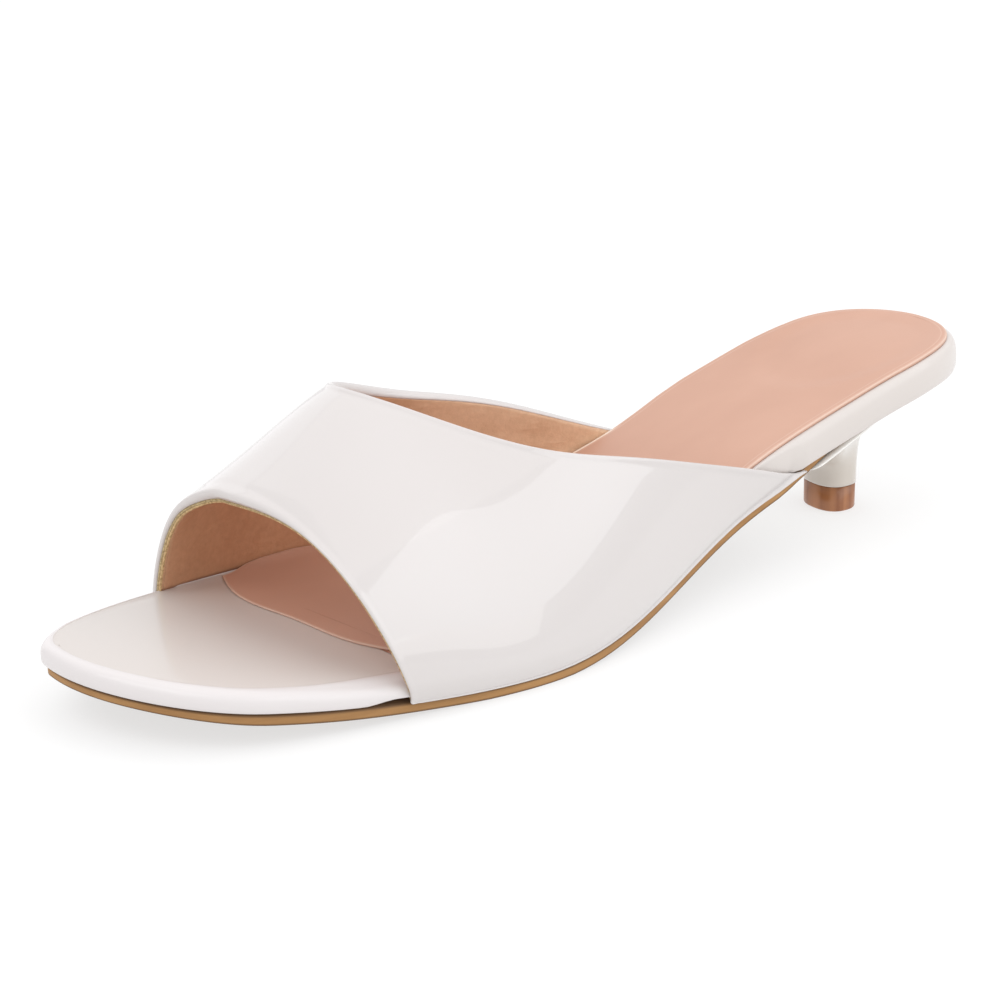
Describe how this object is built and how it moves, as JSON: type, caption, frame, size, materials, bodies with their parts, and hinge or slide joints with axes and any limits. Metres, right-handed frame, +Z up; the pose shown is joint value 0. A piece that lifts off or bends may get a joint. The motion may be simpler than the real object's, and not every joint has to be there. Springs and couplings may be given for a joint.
{
  "type": "kitten heel mule",
  "caption": "Open-toed, backless women's mule with a wide glossy band over the forefoot, a smooth sock on a wrapped footbed and a low kitten heel. Left shoe.",
  "frame": {"origin": "on the floor, at the middle of the shoe's bounding box", "axes": "+Z up; +Y from the toe to the heel; +X to the outer side of the foot, away from the other shoe"},
  "size_m": [0.0866, 0.248, 0.0548],
  "materials": {
    "outsole": "satin tan sheet",
    "footbed_patent": "glossy white patent",
    "sock": "smooth salmon-tan leather",
    "upper_patent": "glossy white patent with a tan lining",
    "heel_wrap": "glossy white patent wrapped on the heel",
    "top_piece": "satin brown"
  },
  "bodies": {
    "root": {"outsole": "outsole", "footbed": "footbed_patent", "sock": "sock", "upper": "upper_patent", "heel": "heel_wrap", "top_piece": "top_piece"}
  },
  "joints": []
}
